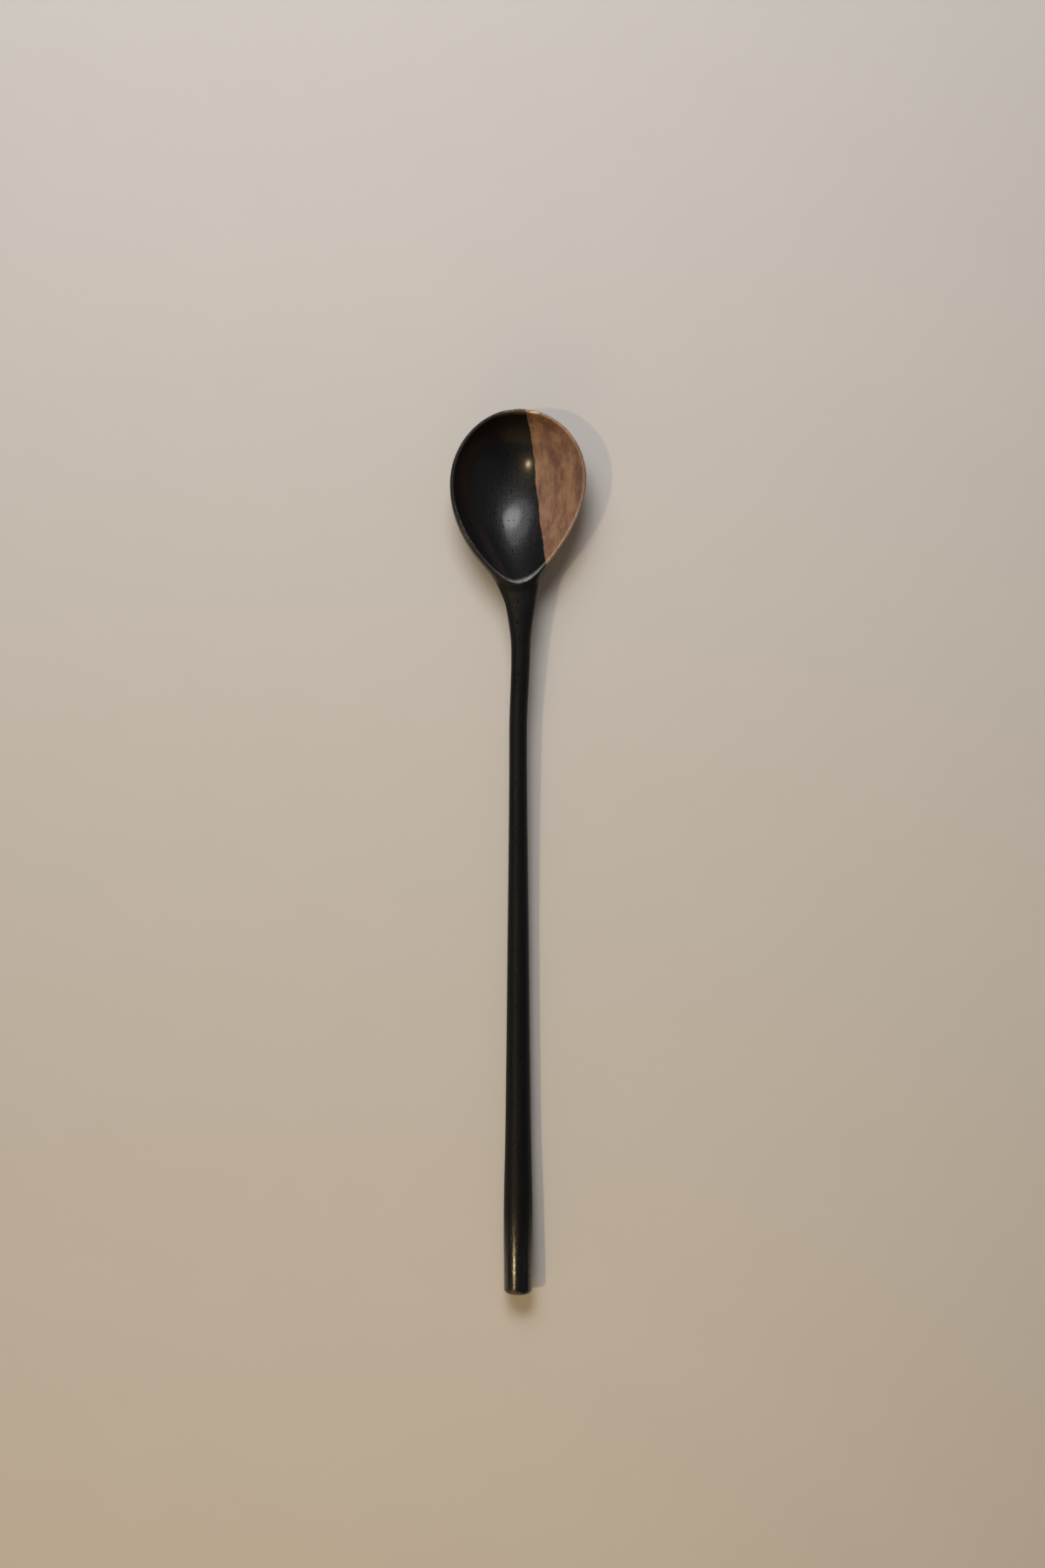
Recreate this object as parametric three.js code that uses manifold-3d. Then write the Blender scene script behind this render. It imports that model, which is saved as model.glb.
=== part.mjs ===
import * as THREE from 'three';
import { mergeVertices } from 'three/addons/utils/BufferGeometryUtils.js';
import Module from 'manifold-3d';

const wasm = await Module();
wasm.setup();

// A long-handled spoon, carved from one billet in which dark heartwood meets brown sapwood.
// Millimetres, +Z up, +Y towards the tip of the bowl. The origin is where the bowl rests.

// Overall size
const overallLength = 250;
const rimHeight = 12.7;
const tipFromFoot = 16.8;

// Rim of the bowl, seen from above
const rimLength = 49.1;
const rimWidth = 38.06;
const widestFromTip = 20.3;
const tipRadius = 17.6;
const ridgeRadius = 5.9;
const rimLand = 0.9;

// Hollow of the bowl
const hollowDepth = 10.6;
const deepestFromTip = 20.8;
const deepestShare = -0.15;
const sideFill = 0.1;
const rearFill = 0.2;
const frontFill = 0.6;

// Outside of the bowl
const edgeRound = 0.15;
const edgeShare = 0.1;
const wallFullness = 1.4;
const footSink = 0.18;
const heelFromFoot = 15;
const heelRise = 1.35;

// Flank, where the bowl turns into the neck
const flankFromRidge = 8.3;
const flankBulge = 0.3;
const flankShare = 0.33;
const flankFullness = 1.35;

// Ridge, the crest that closes the hollow towards the neck
const ridgeWidth = 11.9;
const ridgeShare = 0.45;
const ridgeFullness = 1.2;

// Scoop, a shallow dip in the back of the neck behind the ridge
const scoopFromRidge = 2.2;
const scoopDrop = 0.65;

// Neck, arched clear of the table
const neckFromRidge = 7;
const neckWidth = 7.9;
const neckThickness = 5;
const neckRise = 6.8;

// Throat, where the neck has become a round stem
const throatFromRidge = 18;
const throatWidth = 5.4;
const throatThickness = 5.3;
const throatRise = 5.2;

// Waist, the thinnest place of the handle
const waistFromRidge = 42;
const waistDiameter = 5;
const waistRise = 3.6;

// Middle of the handle
const middleFromRidge = 106;
const middleDiameter = 6.15;
const middleRise = 0.9;

// Low point, where the handle comes down to the table
const lowFromButt = 46;
const lowDiameter = 7.3;
const lowRise = 0.03;

// Grip and butt
const gripFromButt = 20;
const gripDiameter = 8.2;
const gripRise = 0.06;
const buttDiameter = 8.1;
const buttRise = 0.85;
const buttRound = 1.2;

// The knife's wander: how far the middle of a station lies to the right of the handle's axis
const throatSway = 0.74;
const neckSway = 0.65;
const ridgeSway = -0.05;
const flankSway = -1.05;
const tipSway = 0.5;
const rimLean = 0.5;

// Growth line between heartwood and sapwood: how far it lies to the right of the handle's axis
const lineAtTip = 2.1;
const lineAtFront = 4.35;
const lineAtWidest = 5.15;
const lineAtFlank = 7.5;
const lineAtRidge = 9.2;
const frontFromTip = 10.7;
const growthLineGap = 0.3;

// Fineness of the surfaces
const bowlStations = 34;
const neckStations = 14;
const handleStations = 22;
const buttStations = 4;
const crownPoints = 7;
const undersidePoints = 24;
const hollowRings = 14;
const hollowSpokes = 64;
const lineSegments = 24;
const mergeDistance = 1e-5;

// Places along the spoon
const tipY = tipFromFoot;
const ridgeY = tipY - rimLength;
const buttY = tipY - overallLength;
const rimMiddleY = (tipY + ridgeY) / 2;
const widestY = tipY - widestFromTip;
const deepestY = tipY - deepestFromTip;
const flankY = ridgeY + flankFromRidge;
const scoopY = ridgeY - scoopFromRidge;
const neckY = ridgeY - neckFromRidge;
const throatY = ridgeY - throatFromRidge;
const waistY = ridgeY - waistFromRidge;
const middleY = ridgeY - middleFromRidge;
const lowY = buttY + lowFromButt;
const gripY = buttY + gripFromButt;

// A smooth curve through a few stations [place, value] that never overshoots them.
// It is level at both ends, unless a slope is given for the last one.
function smoothThrough(stations, lastSlope = 0) {
  const places = stations.map((station) => station[0]);
  const values = stations.map((station) => station[1]);
  const last = stations.length - 1;
  const rise = (i) => (values[i + 1] - values[i]) / (places[i + 1] - places[i]);
  const slopes = stations.map((_, i) => {
    if (i === 0) return 0;
    if (i === last) return lastSlope;
    const before = rise(i - 1);
    const after = rise(i);
    return before * after > 0 ? (2 * before * after) / (before + after) : 0;
  });
  return (place) => {
    const at = THREE.MathUtils.clamp(place, places[0], places[last]);
    const next = places.findIndex((p, i) => i > 0 && at <= p);
    const start = next - 1;
    const span = places[next] - places[start];
    const s = (at - places[start]) / span;
    const startWeight = (2 * s - 3) * s * s + 1;
    const startPull = s * (s - 1) ** 2 * span * slopes[start];
    const nextPull = s * s * (s - 1) * span * slopes[next];
    const level = values[start] * startWeight + values[next] * (1 - startWeight);
    return level + startPull + nextPull;
  };
}

// Half the width of the rim's egg-shaped outline, or of the same outline drawn in all round.
// It is an ellipse whose plumpness changes smoothly from the ridge to the tip.
function rimHalfWidth(y, inset = 0) {
  const half = rimLength / 2 - inset;
  const along = (y - rimMiddleY) / half;
  if (Math.abs(along) >= 1) return 0;
  const widest = 1 - (widestFromTip - inset) / half;
  const room = 1 - widest * widest;
  const plump = Math.log(((rimWidth / 2 - inset) / half) ** 2 / room);
  const tilt = (2 * widest) / room;
  const bendTowards = (end, endRadius) => {
    const reach = end - widest;
    return (Math.log((endRadius - inset) / half) - plump - tilt * reach) / reach ** 2;
  };
  const bendAhead = bendTowards(1, tipRadius);
  const twist = (bendAhead - bendTowards(-1, ridgeRadius)) / 2;
  const bend = bendAhead - twist * (1 - widest);
  const from = along - widest;
  const squash = Math.exp(plump + tilt * from + bend * from ** 2 + twist * from ** 3);
  return half * Math.sqrt(squash * (1 - along * along));
}

// Runs smoothly from -1 at the rear end through 0 at the lowest point to 1 at the front end
function reachAlong(y, rear, lowest, front) {
  const ahead = front - lowest;
  const behind = lowest - rear;
  const bend = (ahead - behind) / (ahead + behind);
  return (y - lowest) / (ahead * (1 - bend) + bend * (y - lowest));
}

// Middle line of the body, and how far the rim leans over to the right of it
const sway = smoothThrough([
  [waistY, 0],
  [throatY, throatSway],
  [neckY, neckSway],
  [ridgeY, ridgeSway],
  [flankY, flankSway],
  [widestY, 0],
  [tipY, tipSway],
]);
const lean = smoothThrough([
  [ridgeY, 0],
  [flankY, rimLean],
  [widestY, 0],
]);
const rimCentre = (y) => sway(y) + lean(y);

// Outline of the bowl's wall, which stands a little outside the rim
const bulge = smoothThrough([
  [flankY, flankBulge],
  [widestY, edgeRound],
]);
function wallHalfWidth(y) {
  const rim = rimHalfWidth(y);
  return rim + Math.min(bulge(y), rim / 4);
}

// Outline of the handle, which flares out through the neck and runs into the wall at the flank
const slopeStep = 0.2;
const flankSlope = (wallHalfWidth(flankY + slopeStep) - wallHalfWidth(flankY)) / slopeStep;
const stemHalfWidth = smoothThrough(
  [
    [buttY, buttDiameter / 2],
    [gripY, gripDiameter / 2],
    [lowY, lowDiameter / 2],
    [middleY, middleDiameter / 2],
    [waistY, waistDiameter / 2],
    [throatY, throatWidth / 2],
    [neckY, neckWidth / 2],
    [ridgeY, ridgeWidth / 2],
    [flankY, wallHalfWidth(flankY)],
  ],
  flankSlope,
);
const bodyHalfWidth = (y) => (y > flankY ? wallHalfWidth(y) : stemHalfWidth(y));

// Underside: the bowl rests on its lowest point, the neck arches up and the handle comes down
const stemUnderside = smoothThrough([
  [buttY, buttRise],
  [gripY, gripRise],
  [lowY, lowRise],
  [middleY, middleRise],
  [waistY, waistRise],
  [throatY, throatRise],
  [neckY, neckRise],
  [-heelFromFoot, heelRise],
  [0, -footSink],
]);
function bowlUnderside(y) {
  const along = reachAlong(y, ridgeY, 0, tipY);
  return rimHeight - (rimHeight + footSink) * (1 - along * along);
}
const underside = (y) => (y > 0 ? bowlUnderside(y) : stemUnderside(y));

// Top line: level along the rim, a scoop behind the ridge, then the back of the handle
const topLine = smoothThrough([
  [buttY, buttRise + buttDiameter],
  [gripY, gripRise + gripDiameter],
  [lowY, lowRise + lowDiameter],
  [middleY, middleRise + middleDiameter],
  [waistY, waistRise + waistDiameter],
  [throatY, throatRise + throatThickness],
  [neckY, neckRise + neckThickness],
  [scoopY, rimHeight - scoopDrop],
  [ridgeY, rimHeight],
]);

// Share of a section's height that lies above its widest level
const crownShare = smoothThrough([
  [throatY, 0.5],
  [ridgeY, ridgeShare],
  [flankY, flankShare],
  [widestY, edgeShare],
]);

// Fullness of a section's lower half: 1 is an ellipse, 2 a parabola
const fullness = smoothThrough([
  [throatY, 1],
  [ridgeY, ridgeFullness],
  [flankY, flankFullness],
  [widestY, wallFullness],
]);

// One closed cross-section, from the right edge over the top to the left edge and back below
function section({ y, inset }) {
  const half = bodyHalfWidth(y) - inset;
  const top = topLine(y) - inset;
  const under = Math.min(underside(y) + inset, top);
  const shoulder = top - crownShare(y) * (top - under);
  const flat = Math.min(rimHalfWidth(y), half);
  const points = [];
  for (const side of [1, -1]) {
    const edge = side * flat + (flat > 0 ? lean(y) : 0);
    const overhang = side * half - edge;
    for (let i = 0; i < crownPoints; i++) {
      const turn = (Math.PI / 2) * (i / (crownPoints - 1));
      const angle = side > 0 ? turn : Math.PI / 2 - turn;
      const x = sway(y) + edge + overhang * Math.cos(angle);
      points.push(new THREE.Vector3(x, y, shoulder + (top - shoulder) * Math.sin(angle)));
    }
  }
  for (let i = 1; i < undersidePoints; i++) {
    const angle = Math.PI * (i / undersidePoints);
    const x = sway(y) - half * Math.cos(angle);
    const drop = (shoulder - under) * Math.sin(angle) ** fullness(y);
    points.push(new THREE.Vector3(x, y, shoulder - drop));
  }
  return points;
}

// Where the sections stand, from the rounded butt to the tip; those of the butt are drawn in
function sectionPlaces() {
  const places = [];
  for (let i = 0; i < buttStations; i++) {
    const turn = (Math.PI / 2) * (i / buttStations);
    const y = buttY + buttRound * (1 - Math.cos(turn));
    places.push({ y, inset: buttRound * (1 - Math.sin(turn)) });
  }
  for (let i = 0; i < handleStations; i++) {
    const y = THREE.MathUtils.lerp(buttY + buttRound, throatY, i / handleStations);
    places.push({ y, inset: 0 });
  }
  for (let i = 0; i < neckStations; i++) {
    places.push({ y: THREE.MathUtils.lerp(throatY, ridgeY, i / neckStations), inset: 0 });
  }
  for (let i = 0; i <= bowlStations; i++) {
    const turn = Math.PI * (i / bowlStations);
    places.push({ y: rimMiddleY - (rimLength / 2) * Math.cos(turn), inset: 0 });
  }
  return places;
}

// A closed mesh from rings of points, each ring joined to the next, with a point in each end
function meshFromRings(rings, firstEnd, lastEnd) {
  const perRing = rings[0].length;
  const firstIndex = rings.length * perRing;
  const lastIndex = firstIndex + 1;
  const lastRing = firstIndex - perRing;
  const faces = [];
  for (let j = 0; j < perRing; j++) {
    const next = (j + 1) % perRing;
    faces.push(firstIndex, j, next);
    for (let row = 0; row < lastRing; row += perRing) {
      const ahead = row + perRing;
      faces.push(row + j, ahead + next, row + next);
      faces.push(row + j, ahead + j, ahead + next);
    }
    faces.push(lastIndex, lastRing + next, lastRing + j);
  }
  const geometry = new THREE.BufferGeometry();
  geometry.setFromPoints([...rings.flat(), firstEnd, lastEnd]);
  geometry.setIndex(faces);
  return geometry;
}

// A solid from a closed geometry, less the faces that shrink to nothing at a pointed end
function solidFrom(geometry) {
  geometry.deleteAttribute('normal');
  geometry.deleteAttribute('uv');
  const merged = mergeVertices(geometry, mergeDistance);
  const corners = merged.index.array;
  const faces = [];
  for (let i = 0; i < corners.length; i += 3) {
    const [a, b, c] = corners.slice(i, i + 3);
    if (a !== b && b !== c && c !== a) faces.push(a, b, c);
  }
  const mesh = new wasm.Mesh({
    numProp: 3,
    vertProperties: new Float32Array(merged.attributes.position.array),
    triVerts: new Uint32Array(faces),
  });
  return new wasm.Manifold(mesh);
}

// The outside of the whole spoon, lofted from the butt to the tip
function spoonOutside() {
  const rings = sectionPlaces().map(section);
  const butt = new THREE.Box3().setFromPoints(rings[0]).getCenter(new THREE.Vector3());
  const tip = rings[rings.length - 1][0];
  return solidFrom(meshFromRings(rings, butt, tip));
}

// Depth of the hollow below the rim
function hollowAt(x, y) {
  const half = rimHalfWidth(y, rimLand);
  const along = reachAlong(y, ridgeY + rimLand, deepestY, tipY - rimLand);
  const across = reachAlong((x - rimCentre(y)) / half, -1, deepestShare, 1);
  const endFill = THREE.MathUtils.lerp(rearFill, frontFill, (1 + along) / 2);
  const ends = (1 - along ** 2) * (1 + endFill * along ** 2);
  const sides = (1 - across ** 2) * (1 + sideFill * across ** 2);
  return hollowDepth * ends * sides;
}

// What the gouge takes out: a dish within the rim, carried on straight up above it
function hollow() {
  const halfLength = rimLength / 2 - rimLand;
  const edge = [];
  for (let j = 0; j < hollowSpokes; j++) {
    const turn = (2 * Math.PI * (j + 0.5)) / hollowSpokes;
    const y = rimMiddleY + halfLength * Math.cos(turn);
    const x = rimCentre(y) + Math.sign(Math.sin(turn)) * rimHalfWidth(y, rimLand);
    edge.push(new THREE.Vector3(x, y, rimHeight));
  }
  const deepestX = rimCentre(deepestY) + deepestShare * rimHalfWidth(deepestY, rimLand);
  const lid = new THREE.Vector3(deepestX, deepestY, rimHeight);
  const floor = lid.clone().setZ(rimHeight - hollowDepth);
  const rings = [];
  for (let i = 1; i < hollowRings; i++) {
    const ring = edge.map((corner) => lid.clone().lerp(corner, i / hollowRings));
    ring.forEach((point) => point.setZ(rimHeight - hollowAt(point.x, point.y)));
    rings.push(ring);
  }
  const raised = edge.map((corner) => corner.clone().setZ(rimHeight + rimLand));
  rings.push(edge, raised);
  return solidFrom(meshFromRings(rings, floor, lid.setZ(rimHeight + rimLand)));
}

// The table top, which gives the bowl its small flat foot
function table() {
  const depth = 10;
  const slab = new THREE.BoxGeometry(rimWidth * 2, overallLength * 2, depth);
  return solidFrom(slab.translate(0, 0, -depth / 2));
}

// Everything to the right of the growth line, which runs straight down through the bowl
function rightOfGrowthLine(clearance) {
  const line = new THREE.SplineCurve([
    new THREE.Vector2(lineAtRidge, ridgeY),
    new THREE.Vector2(lineAtFlank, flankY),
    new THREE.Vector2(lineAtWidest, widestY),
    new THREE.Vector2(lineAtFront, tipY - frontFromTip),
    new THREE.Vector2(lineAtTip, tipY),
  ]);
  const shape = new THREE.Shape(line.getPoints(lineSegments));
  shape.lineTo(rimWidth, tipY);
  shape.lineTo(rimWidth, ridgeY);
  const block = new THREE.ExtrudeGeometry(shape, { depth: rimHeight * 2, bevelEnabled: false });
  return solidFrom(block.translate(-clearance, 0, -rimHeight / 2));
}

// A named mesh from a solid
function wood(name, solid, material) {
  const { vertProperties, triVerts } = solid.getMesh();
  const geometry = new THREE.BufferGeometry();
  geometry.setAttribute('position', new THREE.BufferAttribute(vertProperties, 3));
  geometry.setIndex(new THREE.BufferAttribute(triVerts, 1));
  geometry.computeVertexNormals();
  const mesh = new THREE.Mesh(geometry, material);
  mesh.name = name;
  return mesh;
}

const heartwood = new THREE.MeshStandardMaterial({ color: 0x1b1816, roughness: 0.4, metalness: 0 });
const sapwood = new THREE.MeshStandardMaterial({ color: 0x7d5a44, roughness: 0.5, metalness: 0 });

const carved = spoonOutside().subtract(hollow()).subtract(table());

const spoon = new THREE.Group();
spoon.add(
  wood('heartwood_body', carved.subtract(rightOfGrowthLine(growthLineGap)), heartwood),
  wood('sapwood_side', carved.intersect(rightOfGrowthLine(0)), sapwood),
);

export default spoon;
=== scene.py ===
"""A carved spoon of near-black heartwood and brown sapwood, lying bowl up on a pale table."""
from math import pi, radians

import bmesh
import bpy
import numpy as np
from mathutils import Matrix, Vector


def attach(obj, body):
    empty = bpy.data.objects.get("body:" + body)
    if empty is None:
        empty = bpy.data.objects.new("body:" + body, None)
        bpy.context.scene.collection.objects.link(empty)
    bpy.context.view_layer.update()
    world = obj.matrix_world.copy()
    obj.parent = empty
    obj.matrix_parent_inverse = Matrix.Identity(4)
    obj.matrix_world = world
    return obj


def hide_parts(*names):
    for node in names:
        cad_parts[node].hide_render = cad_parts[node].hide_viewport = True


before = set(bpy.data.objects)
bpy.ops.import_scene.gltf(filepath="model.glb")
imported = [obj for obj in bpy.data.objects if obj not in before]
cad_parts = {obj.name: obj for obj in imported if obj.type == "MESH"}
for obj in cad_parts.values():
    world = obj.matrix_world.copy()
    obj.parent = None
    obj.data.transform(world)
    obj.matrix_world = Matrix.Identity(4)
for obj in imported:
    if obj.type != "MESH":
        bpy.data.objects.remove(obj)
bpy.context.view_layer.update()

MM = 0.001

# Outline and levels of the spoon, in millimetres, as in the part
OVERALL_LENGTH = 250
RIM_HEIGHT = 12.7
TIP_Y = 16.8
RIM_LENGTH = 49.1
RIM_WIDTH = 38.06
WIDEST_FROM_TIP = 20.3
TIP_RADIUS = 17.6
RIDGE_RADIUS = 5.9
RIM_LAND = 0.7
HOLLOW_DEPTH = 10.6
DEEPEST_Y = TIP_Y - 20.8
DEEPEST_SHARE = -0.15
SIDE_FILL = 0.1
REAR_FILL = 0.2
FRONT_FILL = 0.6
FOOT_SINK = 0.18

RIDGE_Y = TIP_Y - RIM_LENGTH
BUTT_Y = TIP_Y - OVERALL_LENGTH
RIM_MIDDLE_Y = (TIP_Y + RIDGE_Y) / 2
WIDEST_Y = TIP_Y - WIDEST_FROM_TIP
FRONT_Y = TIP_Y - 10.7
FLANK_Y = RIDGE_Y + 8.3
SCOOP_Y = RIDGE_Y - 2.2
NECK_Y = RIDGE_Y - 7
THROAT_Y = RIDGE_Y - 18
WAIST_Y = RIDGE_Y - 42
MIDDLE_Y = RIDGE_Y - 106
LOW_Y = BUTT_Y + 46
GRIP_Y = BUTT_Y + 20

# The surface keeps within the part's box
BOX_LOW = (-19.18, BUTT_Y, 0)
BOX_HIGH = (19.186, TIP_Y, RIM_HEIGHT)

# Edges eased
OUTER_EASING = 0.3
OUTER_LIP = 0.12
RIM_EASING = 0.35
RIDGE_EASING = 0.9
FOOT_EASING = 0.18
BUTT_EASING = 1.5
TIP_TRIM = 0.03
SHOULDER_BLEND = 0.1
RIM_BLEND = 3
HOLLOW_OVERRUN = 3 * RIM_LAND
LEAST_THICKNESS = 0.001

# Growth line between the woods, as places to the right of the axis and along it
GROWTH_LINE = ((9.2, RIDGE_Y), (7.5, FLANK_Y), (5.15, WIDEST_Y), (4.35, FRONT_Y), (2.1, TIP_Y))
GROWTH_LINE_STEPS = 24

# Its waves: how far each swings, how fast it turns along the spoon and where it starts
WANDER = ((0.10, 0.61, 0.6), (0.05, 1.57, 2.1), (0.02, 4.7, 0.0))

# Fineness of the surface
FINE_STEP = 0.28
LONG_STEP = 1.1
FINE_BUTT = 4
FINE_NECK = 14
STEP_CHANGE = 30
GRID_HALF_WIDTH = 19.6
GRID_MARGIN = 0.5
GRID_SLABS = 12
OUTSIDE_SCALE = 3
NEWTON_STEPS = 5
RELAX_STEPS = 2
LONGEST_MOVE = 0.3
NUDGE = 0.01
TINY = 1e-9

# Colours of the woods and of the table
HEARTWOOD_BLACK = (0.0042, 0.0048, 0.0056, 1)
HEARTWOOD_STREAK = (0.0064, 0.0062, 0.0064, 1)
HEARTWOOD_PORE = (0.003, 0.0025, 0.002, 1)
# Paler rim colours: partly wear, partly a painted highlight of the rim's rounded edge
HEARTWOOD_WORN_AND_HIGHLIGHT = (0.082, 0.075, 0.067, 1)
HEARTWOOD_TIP_WORN_AND_HIGHLIGHT = (0.13, 0.10, 0.065, 1)
SAPWOOD_BROWN = (0.165, 0.085, 0.054, 1)
SAPWOOD_PALE = (0.275, 0.155, 0.088, 1)
SAPWOOD_STAIN = (0.100, 0.048, 0.032, 1)
SAPWOOD_STREAK = (0.105, 0.046, 0.030, 1)
SAPWOOD_FIBRE = (0.34, 0.21, 0.13, 1)
# Paler sapwood rim: partly wear, partly painted highlight; the glint below is a painted highlight
SAPWOOD_WORN_AND_HIGHLIGHT = (0.40, 0.28, 0.17, 1)
SAPWOOD_PAINTED_GLINT = (0.80, 0.58, 0.40, 1)
TABLE_DARK = (0.578, 0.558, 0.522, 1)
TABLE_LIGHT = (0.594, 0.574, 0.538, 1)
WOOD_IOR = 1.5

# Darker places in the sapwood: the middle and the reach of each, in millimetres
STAINS = (((11.0, 12.0), (4.5, 2.6)), ((10.6, 1.6), (2.6, 4.4)), ((16.8, -0.5), (1.7, 8.0)))

# Colours of the light
DAYLIGHT = (0.955, 0.94, 0.965)
LAMPLIGHT = (1.0, 0.76, 0.40)
FIRELIGHT = (1.0, 0.62, 0.25)
ROOM_COLOUR = (0.98, 0.97, 1.0, 1)
ROOM_STRENGTH = 0.05

# Camera, straight above the spoon, in millimetres
CAMERA_PLACE = (1.25, -88.55, 624)
CAMERA_LENS = 50
CAMERA_SENSOR = 36


def smooth_through(stations, last_slope=0.0):
    """A curve through [place, value] stations that never overshoots them, level at its ends."""
    places = np.array([place for place, _ in stations], float)
    values = np.array([value for _, value in stations], float)
    rises = np.diff(values) / np.diff(places)
    slopes = np.zeros(len(places))
    for i in range(1, len(rises)):
        before, after = rises[i - 1], rises[i]
        if before * after > 0:
            slopes[i] = 2 * before * after / (before + after)
    slopes[-1] = last_slope

    def curve(place):
        at = np.clip(place, places[0], places[-1])
        start = np.clip(np.searchsorted(places, at) - 1, 0, len(places) - 2)
        span = places[start + 1] - places[start]
        s = (at - places[start]) / span
        weight = (2 * s - 3) * s * s + 1
        level = values[start] * weight + values[start + 1] * (1 - weight)
        pull = s * (s - 1) ** 2 * slopes[start] + s * s * (s - 1) * slopes[start + 1]
        return level + pull * span

    return curve


def plumpness(y, inset):
    """How much plumper than an ellipse the rim's outline is at y, and the place y along it."""
    half = RIM_LENGTH / 2 - inset
    along = (y - RIM_MIDDLE_Y) / half
    widest = 1 - (WIDEST_FROM_TIP - inset) / half
    room = 1 - widest**2
    plump = np.log(((RIM_WIDTH / 2 - inset) / half) ** 2 / room)
    tilt = 2 * widest / room

    def bend_towards(end, end_radius):
        reach = end - widest
        return (np.log((end_radius - inset) / half) - plump - tilt * reach) / reach**2

    ahead = bend_towards(1, TIP_RADIUS)
    twist = (ahead - bend_towards(-1, RIDGE_RADIUS)) / 2
    bend = ahead - twist * (1 - widest)
    off = along - widest
    return half**2 * np.exp(plump + tilt * off + bend * off**2 + twist * off**3), along


def rim_half_width(y):
    squash, along = plumpness(y, 0)
    return np.sqrt(np.maximum(squash * (1 - along**2), 0))


def reach_along(y, rear, lowest, front):
    """-1 at the rear end, 0 at the lowest point and 1 at the front end."""
    bend = (front + rear - 2 * lowest) / (front - rear)
    return (y - lowest) / ((front - lowest) * (1 - bend) + bend * (y - lowest))


sway = smooth_through(
    [
        (WAIST_Y, 0),
        (THROAT_Y, 0.74),
        (NECK_Y, 0.65),
        (RIDGE_Y, -0.05),
        (FLANK_Y, -1.05),
        (WIDEST_Y, 0),
        (TIP_Y, 0.5),
    ]
)
lean = smooth_through([(RIDGE_Y, 0), (FLANK_Y, 0.5), (WIDEST_Y, 0)])
bulge = smooth_through([(FLANK_Y, 0.3), (WIDEST_Y, 0.15)])


def wall_half_width(y):
    rim = rim_half_width(y)
    return rim + np.minimum(bulge(y), rim / 4)


flank_slope = (wall_half_width(FLANK_Y + 0.2) - wall_half_width(FLANK_Y)) / 0.2
stem_half_width = smooth_through(
    [
        (BUTT_Y, 4.05),
        (GRIP_Y, 4.1),
        (LOW_Y, 3.65),
        (MIDDLE_Y, 3.075),
        (WAIST_Y, 2.5),
        (THROAT_Y, 2.7),
        (NECK_Y, 3.95),
        (RIDGE_Y, 5.95),
        (FLANK_Y, wall_half_width(FLANK_Y)),
    ],
    flank_slope,
)
stem_underside = smooth_through(
    [
        (BUTT_Y, 0.85),
        (GRIP_Y, 0.06),
        (LOW_Y, 0.03),
        (MIDDLE_Y, 0.9),
        (WAIST_Y, 3.6),
        (THROAT_Y, 5.2),
        (NECK_Y, 6.8),
        (-15, 1.35),
        (0, -FOOT_SINK),
    ]
)
top_line = smooth_through(
    [
        (BUTT_Y, 8.95),
        (GRIP_Y, 8.26),
        (LOW_Y, 7.33),
        (MIDDLE_Y, 7.05),
        (WAIST_Y, 8.6),
        (THROAT_Y, 10.5),
        (NECK_Y, 11.8),
        (SCOOP_Y, 12.05),
        (RIDGE_Y, RIM_HEIGHT),
    ]
)
crown_share = smooth_through([(THROAT_Y, 0.5), (RIDGE_Y, 0.45), (FLANK_Y, 0.33), (WIDEST_Y, 0.1)])
fullness = smooth_through([(THROAT_Y, 1), (RIDGE_Y, 1.2), (FLANK_Y, 1.35), (WIDEST_Y, 1.4)])
rim_easing = smooth_through([(RIDGE_Y, RIDGE_EASING), (FLANK_Y, RIM_EASING)])


def underside(y):
    along = reach_along(y, RIDGE_Y, 0, TIP_Y)
    bowl = RIM_HEIGHT - (RIM_HEIGHT + FOOT_SINK) * (1 - along**2)
    return np.where(y > 0, bowl, stem_underside(y))


def outside_field(x, y, z):
    """Negative inside the carved outline, zero on it, positive outside, in no fixed unit."""
    y = np.minimum(y, TIP_Y - TIP_TRIM)
    rim = rim_half_width(y)
    across = x - sway(y)
    leaning = np.sign(across) * lean(y)
    across = np.abs(across)
    crest = np.maximum(rim + leaning - OUTER_EASING, 0)
    half = np.where(y > FLANK_Y, wall_half_width(y), stem_half_width(y))
    half = np.maximum(half, crest + OUTER_EASING + OUTER_LIP * (rim > 0))
    top = top_line(y)
    under = np.minimum(underside(y), top - LEAST_THICKNESS)
    crown = crown_share(y) * (top - under)
    shoulder = top - crown
    over = (np.maximum(across - crest, 0) / (half - crest)) ** 2
    upper = over + ((z - shoulder) / crown) ** 2 - 1
    drop = (shoulder - z) / (shoulder - under)
    full = fullness(y)
    blend = SHOULDER_BLEND * (full - 1)
    drop = (np.sqrt(drop**2 + blend**2) - blend) / (np.sqrt(1 + blend**2) - blend)
    lower = (across / half) ** 2 + drop ** (2 / full) - 1
    return np.where(z > shoulder, upper, lower)


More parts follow.
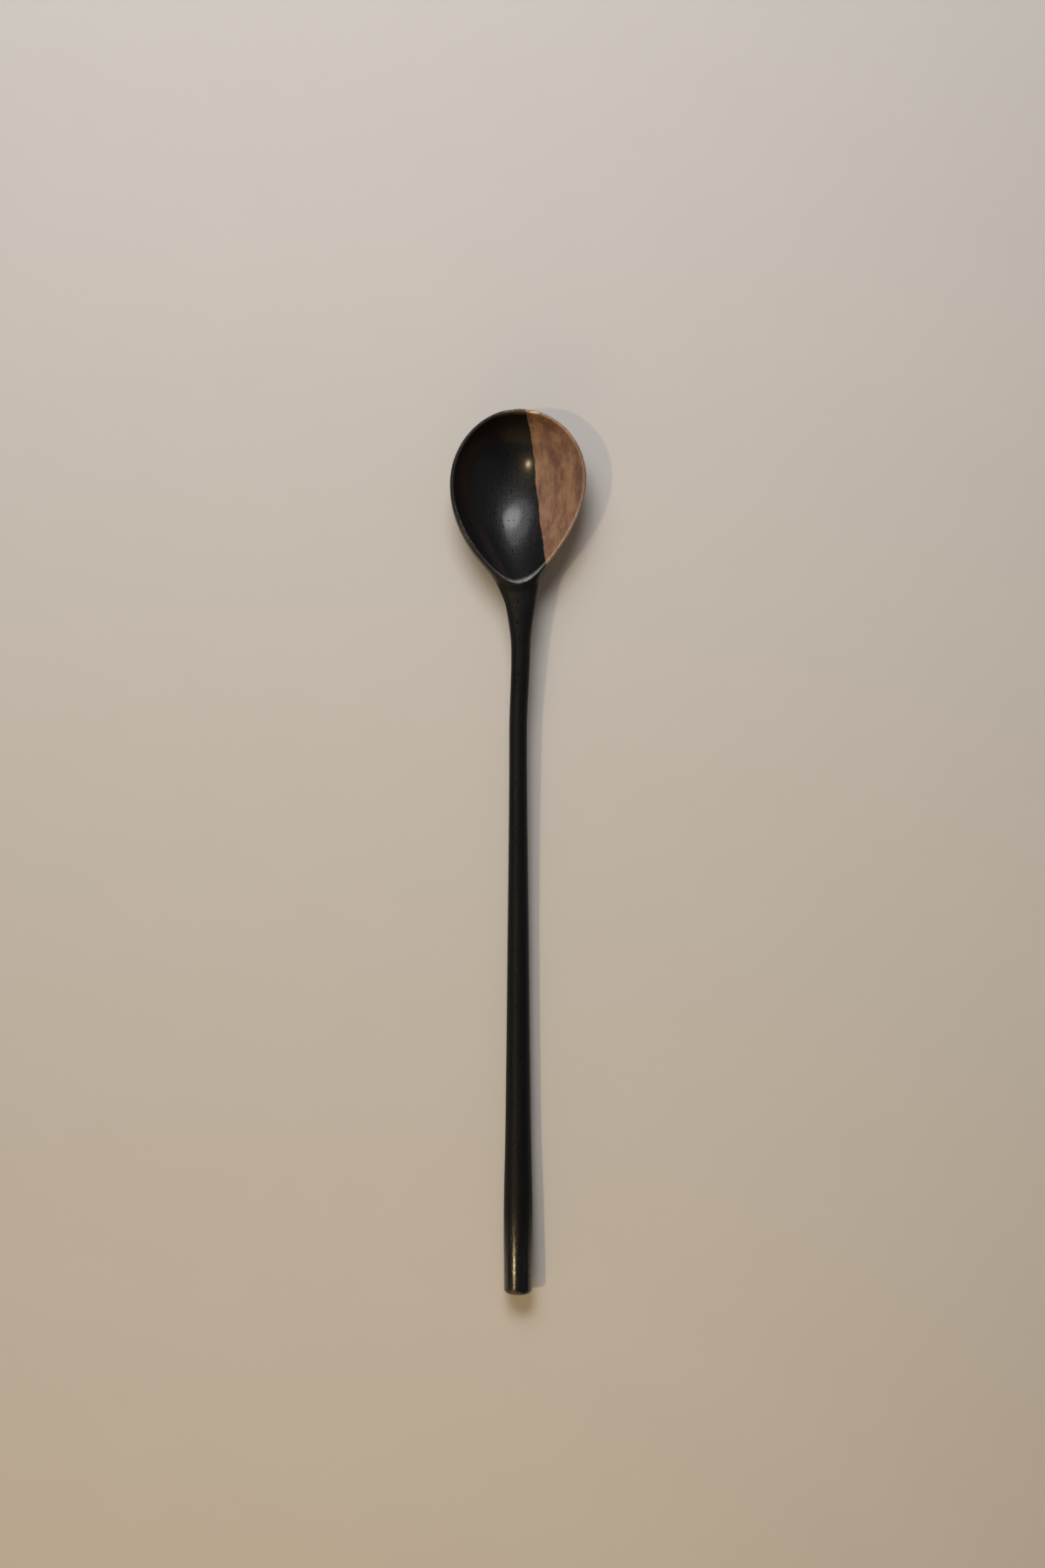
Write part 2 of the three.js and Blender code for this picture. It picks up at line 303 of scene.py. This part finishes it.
def hollow_field(x, y, z):
    """Height above the surface of the hollow, which runs on smoothly past the rim."""
    squash, along = plumpness(y, RIM_LAND)
    half_length = RIM_LENGTH / 2 - RIM_LAND
    lowest = (DEEPEST_Y - RIM_MIDDLE_Y) / half_length
    steep = HOLLOW_DEPTH * (1 - lowest**2) / (1 - lowest * along) ** 2 / squash
    reach = np.clip((along - lowest) / (1 - lowest * along), -1, 1)
    end_fill = REAR_FILL + (FRONT_FILL - REAR_FILL) * (1 + reach) / 2
    room = squash * (1 - along**2)
    across = x - sway(y) - lean(y)
    share = np.clip(across / np.sqrt(np.maximum(room, 0) + RIM_BLEND**2), -1, 1)
    skew = (1 - DEEPEST_SHARE**2) / (1 - DEEPEST_SHARE * share) ** 2
    side = (share - DEEPEST_SHARE) / (1 - DEEPEST_SHARE * share)
    depth = steep * (1 + end_fill * reach**2) * (room - across**2) * skew * (1 + SIDE_FILL * side**2)
    return z - RIM_HEIGHT + np.maximum(depth, -HOLLOW_OVERRUN)


def distance(field, x, y, z):
    """The field as a distance in millimetres, with its outward direction."""
    here = field(x, y, z)
    slopes = []
    for axis in range(3):
        step = [NUDGE if axis == i else 0 for i in range(3)]
        ahead = field(x + step[0], y + step[1], z + step[2])
        behind = field(x - step[0], y - step[1], z - step[2])
        slopes.append((ahead - behind) / (2 * NUDGE))
    slope = np.stack(slopes, axis=-1)
    steepness = np.maximum(np.linalg.norm(slope, axis=-1), TINY)
    return here / steepness, slope / steepness[..., None]


def eased(first, second, radius):
    """The space inside both of two surfaces, with the edge between them rounded."""
    first_distance, first_way = first
    second_distance, second_way = second
    apart = first_distance - second_distance
    share = np.maximum(radius - np.abs(apart), 0) / radius
    mixed = np.maximum(first_distance, second_distance) + share**2 * radius / 4
    weight = np.where(apart > 0, 1 - share / 2, share / 2)[..., None]
    return mixed, first_way * weight + second_way * (1 - weight)


def plane(distances, way):
    return distances, np.broadcast_to(np.array(way, float), distances.shape + (3,))


def spoon_surface(points):
    """Distance to the finished surface of the spoon, and its outward direction."""
    x, y, z = points.T
    outside = distance(outside_field, x, y, z)
    outside = eased(outside, plane(BUTT_Y - y, (0, -1, 0)), BUTT_EASING)
    outside = eased(outside, plane(y - TIP_Y + TIP_TRIM, (0, 1, 0)), TIP_TRIM)
    outside = eased(outside, plane(-z, (0, 0, -1)), FOOT_EASING)
    hollow = distance(hollow_field, x, y, z)
    return eased(outside, hollow, rim_easing(y))


def steps_between(start, end, first, last):
    """Places from start to end whose spacing changes evenly from first to last."""
    count = int(round(2 * (end - start) / (first + last)))
    places = np.cumsum(np.concatenate([[0], np.linspace(first, last, count)]))
    return start + places * (end - start) / places[-1]


def surface_net(xs, ys, zs, values):
    """Corners and quads of the surface where values, given on a grid, change sign."""
    inside = values < 0
    cells = np.array(values.shape) - 1
    count = np.zeros(cells, np.int8)
    for i, j, k in np.ndindex(2, 2, 2):
        count += inside[i : i + cells[0], j : j + cells[1], k : k + cells[2]]
    active = np.nonzero((count > 0) & (count < 8))
    number = np.full(cells, -1)
    number[active] = np.arange(len(active[0]))
    corner = np.stack(active, axis=-1)
    total = np.zeros((len(corner), 3))
    crossings = np.zeros((len(corner), 1))
    grid = [xs, ys, zs]
    quads = []
    for axis in range(3):
        others = [i for i in range(3) if i != axis]
        for p, q in np.ndindex(2, 2):
            low = corner.copy()
            low[:, others[0]] += p
            low[:, others[1]] += q
            high = low.copy()
            high[:, axis] += 1
            first = values[tuple(low.T)]
            second = values[tuple(high.T)]
            crosses = ((first < 0) != (second < 0))[:, None]
            share = np.where(crosses[:, 0], first / np.where(first == second, 1, first - second), 0)
            start = np.stack([grid[i][low[:, i]] for i in range(3)], axis=-1)
            end = np.stack([grid[i][high[:, i]] for i in range(3)], axis=-1)
            total += crosses * (start + (end - start) * share[:, None])
            crossings += crosses
        low = [slice(1, -1)] * 3
        low[axis] = slice(0, -1)
        high = list(low)
        high[axis] = slice(1, None)
        changes = np.nonzero(inside[tuple(low)] != inside[tuple(high)])
        edge = np.stack(changes, axis=-1)
        edge[:, others] += 1
        ring = []
        for p, q in ((-1, -1), (0, -1), (0, 0), (-1, 0)):
            cell = edge.copy()
            cell[:, others[0]] += p
            cell[:, others[1]] += q
            ring.append(number[tuple(cell.T)])
        quad = np.stack(ring, axis=-1)
        outward = inside[tuple(edge.T)]
        if axis == 1:
            outward = ~outward
        quad[~outward] = quad[~outward][:, ::-1]
        quads.append(quad)
    return total / crossings, np.concatenate(quads)


def spoon_mesh():
    """The whole spoon as points on its surface and quads between them."""
    xs = np.arange(-GRID_HALF_WIDTH, GRID_HALF_WIDTH + NUDGE, FINE_STEP)
    zs = np.arange(-FINE_STEP * 0.6, RIM_HEIGHT + GRID_MARGIN, FINE_STEP)
    butt_end = BUTT_Y + FINE_BUTT
    stem_start = butt_end + STEP_CHANGE
    neck_start = RIDGE_Y - FINE_NECK
    stem_end = neck_start - STEP_CHANGE
    ys = np.concatenate(
        [
            np.arange(BUTT_Y - GRID_MARGIN, butt_end, FINE_STEP),
            steps_between(butt_end, stem_start, FINE_STEP, LONG_STEP)[:-1],
            steps_between(stem_start, stem_end, LONG_STEP, LONG_STEP)[:-1],
            steps_between(stem_end, neck_start, LONG_STEP, FINE_STEP)[:-1],
            np.arange(neck_start, TIP_Y + GRID_MARGIN, FINE_STEP),
        ]
    )
    x, z = xs[:, None, None], zs[None, None, :]
    slabs = []
    for part in np.array_split(ys, GRID_SLABS):
        y = part[None, :, None]
        values = np.maximum(outside_field(x, y, z) * OUTSIDE_SCALE, hollow_field(x, y, z))
        ends = np.maximum(BUTT_Y - y, y - TIP_Y + TIP_TRIM)
        slabs.append(np.maximum(np.maximum(values, ends), -z))
    points, quads = surface_net(xs, ys, zs, np.concatenate(slabs, axis=1))
    edges = np.concatenate([quads[:, [i, (i + 1) % 4]] for i in range(4)])
    shares = np.bincount(edges[:, 0], minlength=len(points))[:, None]
    for step in range(NEWTON_STEPS):
        away, way = spoon_surface(points)
        way /= np.linalg.norm(way, axis=-1, keepdims=True)
        points -= np.clip(away, -LONGEST_MOVE, LONGEST_MOVE)[:, None] * way
        if step < RELAX_STEPS:
            middle = np.stack(
                [np.bincount(edges[:, 0], points[edges[:, 1], i], len(points)) for i in range(3)],
                axis=-1,
            )
            pull = (middle / shares - points) / 2
            points += pull - (pull * way).sum(axis=-1, keepdims=True) * way
    return np.clip(points, BOX_LOW, BOX_HIGH), quads


def growth_line(y):
    """How far the line between the two woods lies to the right of the spoon's axis."""
    knots = np.array([GROWTH_LINE[0], *GROWTH_LINE, GROWTH_LINE[-1]], float)
    samples = []
    for i in range(1, len(knots) - 2):
        before, start, end, after = knots[i - 1 : i + 3]
        t = np.linspace(0, 1, GROWTH_LINE_STEPS)[:, None]
        level = 2 * start + (end - before) * t
        bend = (2 * before - 5 * start + 4 * end - after) * t**2
        twist = (3 * start - before - 3 * end + after) * t**3
        samples.append((level + bend + twist) / 2)
    samples = np.concatenate(samples)
    wander = sum(swing * np.sin(y * rate + start) for swing, rate, start in WANDER)
    return np.interp(y, samples[:, 1], samples[:, 0]) + wander


def wood_piece(name, points, quads, side, material):
    """The part of the spoon on one side of the growth line, closed along it."""
    mesh = bpy.data.meshes.new(name)
    sheared = points.copy()
    sheared[:, 0] -= growth_line(points[:, 1])
    mesh.from_pydata(sheared.tolist(), [], quads.tolist())
    bm = bmesh.new()
    bm.from_mesh(mesh)
    everything = bm.verts[:] + bm.edges[:] + bm.faces[:]
    bmesh.ops.bisect_plane(bm, geom=everything, plane_no=(-side, 0, 0), clear_outer=True)
    cut = [edge for edge in bm.edges if edge.is_boundary]
    for edge in cut:
        edge.smooth = False
    for face in bm.faces:
        face.smooth = True
    bmesh.ops.triangle_fill(bm, edges=cut, use_beauty=False)
    bmesh.ops.recalc_face_normals(bm, faces=bm.faces[:])
    bm.to_mesh(mesh)
    bm.free()
    places = np.empty(len(mesh.vertices) * 3)
    mesh.vertices.foreach_get("co", places)
    places = places.reshape(-1, 3)
    places[:, 0] += growth_line(places[:, 1])
    mesh.vertices.foreach_set("co", (places * MM).ravel())
    below_rim = mesh.attributes.new("below_rim", "FLOAT", "POINT")
    below_rim.data.foreach_set("value", hollow_field(places[:, 0], places[:, 1], RIM_HEIGHT))
    mesh.update()
    mesh.materials.append(material)
    piece = bpy.data.objects.new(name, mesh)
    bpy.context.scene.collection.objects.link(piece)
    return piece


class Shader:
    """A material's nodes, made one by one and joined by their names."""

    def __init__(self, name):
        self.material = bpy.data.materials.new(name)
        self.material.use_nodes = True
        self.nodes = self.material.node_tree.nodes
        self.links = self.material.node_tree.links
        self.surface = self.nodes["Principled BSDF"]

    def node(self, kind, **settings):
        made = self.nodes.new(kind)
        for key, value in settings.items():
            setattr(made, key, value)
        return made

    def feed(self, socket, value):
        if isinstance(value, bpy.types.NodeSocket):
            self.links.new(value, socket)
        else:
            socket.default_value = value

    def place(self, scale=(1, 1, 1), shift=(0, 0, 0)):
        """Position on the spoon in millimetres, scaled and shifted."""
        coordinates = self.node("ShaderNodeTexCoord")
        mapping = self.node("ShaderNodeMapping")
        self.feed(mapping.inputs["Vector"], coordinates.outputs["Object"])
        mapping.inputs["Scale"].default_value = [s / MM for s in scale]
        mapping.inputs["Location"].default_value = shift
        return mapping.outputs["Vector"]

    def noise(self, scale, shift=(0, 0, 0), detail=3, roughness=0.5):
        """Grey noise around one half, with its grain drawn out by the scale along each axis."""
        noise = self.node("ShaderNodeTexNoise")
        self.feed(noise.inputs["Vector"], self.place(scale, shift))
        noise.inputs["Scale"].default_value = 1
        noise.inputs["Detail"].default_value = detail
        noise.inputs["Roughness"].default_value = roughness
        return noise.outputs["Fac"]

    def spread(self, value, low, high, to_low=0.0, to_high=1.0):
        """value from low to high, made to run smoothly from to_low to to_high."""
        spread = self.node("ShaderNodeMapRange", interpolation_type="SMOOTHSTEP")
        self.feed(spread.inputs["Value"], value)
        spread.inputs["From Min"].default_value = low
        spread.inputs["From Max"].default_value = high
        spread.inputs["To Min"].default_value = to_low
        spread.inputs["To Max"].default_value = to_high
        return spread.outputs["Result"]

    def maths(self, operation, first, second, third=0.5):
        made = self.node("ShaderNodeMath", operation=operation)
        for socket, value in zip(made.inputs, (first, second, third)):
            self.feed(socket, value)
        return made.outputs["Value"]

    def times(self, first, second):
        return self.maths("MULTIPLY", first, second)

    def mix(self, share, first, second):
        """From the first colour to the second as share goes from 0 to 1."""
        mix = self.node("ShaderNodeMix", data_type="RGBA")
        self.feed(mix.inputs["Factor"], share)
        self.feed(mix.inputs["A"], first)
        self.feed(mix.inputs["B"], second)
        return mix.outputs["Result"]

    def axis(self, letter):
        """One coordinate on the spoon, in millimetres."""
        split = self.node("ShaderNodeSeparateXYZ")
        self.feed(split.inputs["Vector"], self.place())
        return split.outputs[letter]

    def rim_band(self, inside, faded, lowest):
        """1 on the rim, 0 where the hollow gets deeper than faded and on the wall below lowest."""
        below = self.node("ShaderNodeAttribute", attribute_name="below_rim").outputs["Fac"]
        upper = self.spread(self.axis("Z"), lowest, lowest + 0.5)
        return self.times(self.spread(below, inside, faded, 1.0, 0.0), upper)

    def stain(self, centre, reach, edge):
        """A ragged patch that fades from 1 at its centre on the spoon, in millimetres, to 0."""
        scale = [1 / reach[0], 1 / reach[1], 0]
        shift = [-centre[0] / reach[0], -centre[1] / reach[1], 0]
        away = self.node("ShaderNodeVectorMath", operation="LENGTH")
        self.feed(away.inputs[0], self.place(scale, shift))
        ragged = self.maths("MULTIPLY_ADD", edge, 1.6, -0.8)
        return self.spread(self.maths("ADD", away.outputs["Value"], ragged), 0.2, 1.2, 1.0, 0.0)

    def bump(self, height, depth):
        """A relief of that depth in millimetres."""
        bump = self.node("ShaderNodeBump")
        self.feed(bump.inputs["Height"], height)
        bump.inputs["Distance"].default_value = depth * MM
        bump.inputs["Strength"].default_value = 1
        self.feed(self.surface.inputs["Normal"], bump.outputs["Normal"])


def heartwood_material():
    shader = Shader("heartwood")
    along = shader.axis("Y")

    # Near-black wood with faint streaks and short open pores
    streaks = shader.noise((0.5, 0.03, 0.5), detail=4)
    wood = shader.mix(shader.spread(streaks, 0.45, 0.72), HEARTWOOD_BLACK, HEARTWOOD_STREAK)
    pores = shader.noise((2.9, 0.55, 2.9), shift=(3, 1, 5), detail=1)
    open_pores = shader.spread(pores, 0.26, 0.33, 1.0, 0.0)
    whole = shader.maths("SUBTRACT", 1.0, open_pores)
    wood = shader.mix(shader.times(open_pores, 0.7), wood, HEARTWOOD_PORE)

    # Rim painted paler, partly as wear and partly as painted highlight, most of all towards the neck and at
    # the tip
    mottle = shader.spread(shader.noise((1.3, 1.3, 1.3)), 0.40, 0.60, 0.35, 1.0)
    outer_edge = shader.rim_band(-0.55, -0.3, 11.2)
    inner_edge = shader.maths("SUBTRACT", shader.rim_band(0.1, 0.3, 11.2), outer_edge)
    inner_edge = shader.times(inner_edge, shader.spread(along, -15, -5, 1.0, 0.45))
    # Painted highlight along the rim's inner edge and the ridge, partly also wear
    wood = shader.mix(shader.times(inner_edge, mottle), wood, HEARTWOOD_WORN_AND_HIGHLIGHT)
    at_tip = shader.times(shader.spread(along, 12.0, 15.5), shader.spread(shader.axis("X"), -8.0, 0.0))
    tip_edge = shader.times(shader.rim_band(0.6, 1.4, 11.0), at_tip)
    # Painted warm highlight on the rim at the tip, partly also wear
    wood = shader.mix(shader.times(tip_edge, mottle), wood, HEARTWOOD_TIP_WORN_AND_HIGHLIGHT)
    shader.feed(shader.surface.inputs["Base Color"], wood)

    # Satin sheen, polished by the hand near the butt
    neck_sheen = shader.spread(along, -60, -31, 0.14, 0.20)
    butt_sheen = shader.spread(along, -230, -208, 0.78, 0.14)
    sheen = shader.maths("MAXIMUM", neck_sheen, butt_sheen)
    shader.feed(shader.surface.inputs["Specular IOR Level"], shader.times(sheen, whole))
    towards_bowl = shader.spread(along, -34, -31, 0.5, 0.40)
    towards_butt = shader.spread(along, -232, -200, 0.18, 0.5)
    roughness = shader.maths("MINIMUM", towards_bowl, towards_butt)
    shader.feed(shader.surface.inputs["Roughness"], roughness)
    shader.surface.inputs["IOR"].default_value = WOOD_IOR

    # Smoother skin in the hollow, which mirrors the window, and at the butt
    in_bowl = shader.spread(along, -33.2, -30.5, 0.0, 0.36)
    before_tip = shader.spread(along, 7, 12, 1.0, 0.15)
    at_butt = shader.spread(along, -231, -216, 0.5, 0.0)
    polish = shader.maths("ADD", shader.times(in_bowl, before_tip), at_butt)
    shader.feed(shader.surface.inputs["Coat Weight"], shader.times(polish, whole))
    shader.surface.inputs["Coat Roughness"].default_value = 0.175

    # Relief of grain and pores, rubbed flatter towards the butt
    long_grain = shader.noise((0.9, 0.12, 0.9))
    short_grain = shader.noise((2.6, 1.1, 2.6))
    grain = shader.maths("ADD", long_grain, short_grain)
    relief = shader.maths("SUBTRACT", grain, open_pores)
    shader.bump(shader.times(relief, shader.spread(along, -232, -205, 0.4, 1.0)), 0.08)
    return shader.material


def sapwood_material():
    shader = Shader("sapwood")
    along = shader.axis("Y")

    # Brown wood in clouds, with darker stains, dark streaks and pale fibres
    clouds = shader.noise((0.34, 0.16, 0.34), shift=(1.7, 0.4, 0), detail=5, roughness=0.6)
    wood = shader.mix(shader.spread(clouds, 0.36, 0.64), SAPWOOD_BROWN, SAPWOOD_PALE)
    for centre, reach in STAINS:
        stain = shader.times(shader.stain(centre, reach, clouds), 0.5)
        wood = shader.mix(stain, wood, SAPWOOD_STAIN)
    streaks = shader.noise((1.1, 0.10, 1.1), shift=(2, 3, 1))
    wood = shader.mix(shader.spread(streaks, 0.54, 0.72, 0.0, 0.6), wood, SAPWOOD_STREAK)
    fibres = shader.noise((5.5, 0.9, 5.5))
    wood = shader.mix(shader.spread(fibres, 0.50, 0.68, 0.0, 0.30), wood, SAPWOOD_FIBRE)

    # Rim painted paler towards its two ends, partly as wear and partly as painted highlight, with a painted
    # glint at the tip
    mottle = shader.spread(shader.noise((1.3, 1.3, 1.3)), 0.38, 0.60, 0.3, 1.0)
    neck_end = shader.spread(along, -13, -7, 0.8, 0.2)
    tip_end = shader.spread(along, 6, 11, 0.2, 0.75)
    rubbed_and_lit = shader.times(shader.rim_band(-0.25, 0.15, 12.1), mottle)
    rubbed_and_lit = shader.times(rubbed_and_lit, shader.maths("MAXIMUM", neck_end, tip_end))
    # Painted highlight on the rim towards its ends, partly also wear
    wood = shader.mix(rubbed_and_lit, wood, SAPWOOD_WORN_AND_HIGHLIGHT)
    # Painted highlight: a bright glint on the rim at the tip
    painted_glint = shader.stain((4.2, 15.7), (1.9, 0.5), fibres)
    wood = shader.mix(shader.times(painted_glint, shader.rim_band(0.3, 0.9, 12.0)), wood, SAPWOOD_PAINTED_GLINT)
    shader.feed(shader.surface.inputs["Base Color"], wood)
    shader.surface.inputs["Roughness"].default_value = 0.42
    shader.surface.inputs["IOR"].default_value = WOOD_IOR
    shader.surface.inputs["Specular IOR Level"].default_value = 0.3
    shader.bump(fibres, 0.02)
    return shader.material


def table_material():
    shader = Shader("table")
    mottle = shader.noise((0.05, 0.05, 0.05))
    shader.feed(shader.surface.inputs["Base Color"], shader.mix(mottle, TABLE_DARK, TABLE_LIGHT))
    shader.surface.inputs["Roughness"].default_value = 0.9
    return shader.material


def table_top():
    bpy.ops.mesh.primitive_plane_add(size=6, location=(0, 0, 0))
    table = bpy.context.object
    table.name = "table_top"
    table.data.materials.append(table_material())


def lamp(name, direction, distance_away, width, height, power, colour, aim=(0, 0, 0), spread=pi):
    """An area light of that width and height in that direction from the bowl."""
    light = bpy.data.lights.new(name, "AREA")
    light.shape = "ELLIPSE"
    light.size = width
    light.size_y = height
    light.energy = power
    light.color = colour
    light.spread = spread
    holder = bpy.data.objects.new(name, light)
    holder.location = Vector(direction).normalized() * distance_away
    holder.rotation_euler = (holder.location - Vector(aim)).to_track_quat("Z", "Y").to_euler()
    bpy.context.scene.collection.objects.link(holder)


def camera():
    data = bpy.data.cameras.new("camera")
    data.lens = CAMERA_LENS
    data.sensor_width = CAMERA_SENSOR
    data.clip_start = 0.01
    holder = bpy.data.objects.new("camera", data)
    holder.location = Vector(CAMERA_PLACE) * MM
    bpy.context.scene.collection.objects.link(holder)
    bpy.context.scene.camera = holder


points, quads = spoon_mesh()
heartwood = wood_piece("heartwood", points, quads, -1, heartwood_material())
sapwood = wood_piece("sapwood", points, quads, 1, sapwood_material())
for piece, node in ((heartwood, "heartwood_body"), (sapwood, "sapwood_side")):
    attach(piece, "root")
    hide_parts(node)

table_top()

# Cool window beyond the bowl, with the pale wall round it and another to the right
lamp("window", (-0.10, 0.53, 0.85), 0.70, 0.42, 0.22, 2.4, DAYLIGHT)
lamp("window_surround", (-0.24, 0.57, 0.75), 0.70, 0.60, 0.46, 2.0, DAYLIGHT)
lamp("far_wall", (0.80, 0.15, 0.60), 0.60, 0.80, 0.80, 0.22, DAYLIGHT)

# Small warm lamp far off to the left, aimed beyond the butt, and a broad glow below
lamp(
    "lamp", (-0.53, -0.16, 0.84), 3.0, 0.12, 0.12, 0.40, LAMPLIGHT, aim=(0.03, -0.25, 0), spread=radians(24)
)
lamp("fireside", (-0.27, -0.88, 0.40), 0.62, 0.9, 0.5, 0.88, FIRELIGHT)
camera()

world = bpy.context.scene.world or bpy.data.worlds.new("world")
bpy.context.scene.world = world
world.use_nodes = True
background = world.node_tree.nodes["Background"]
background.inputs["Color"].default_value = ROOM_COLOUR
background.inputs["Strength"].default_value = ROOM_STRENGTH
bpy.context.scene.view_settings.view_transform = "Standard"
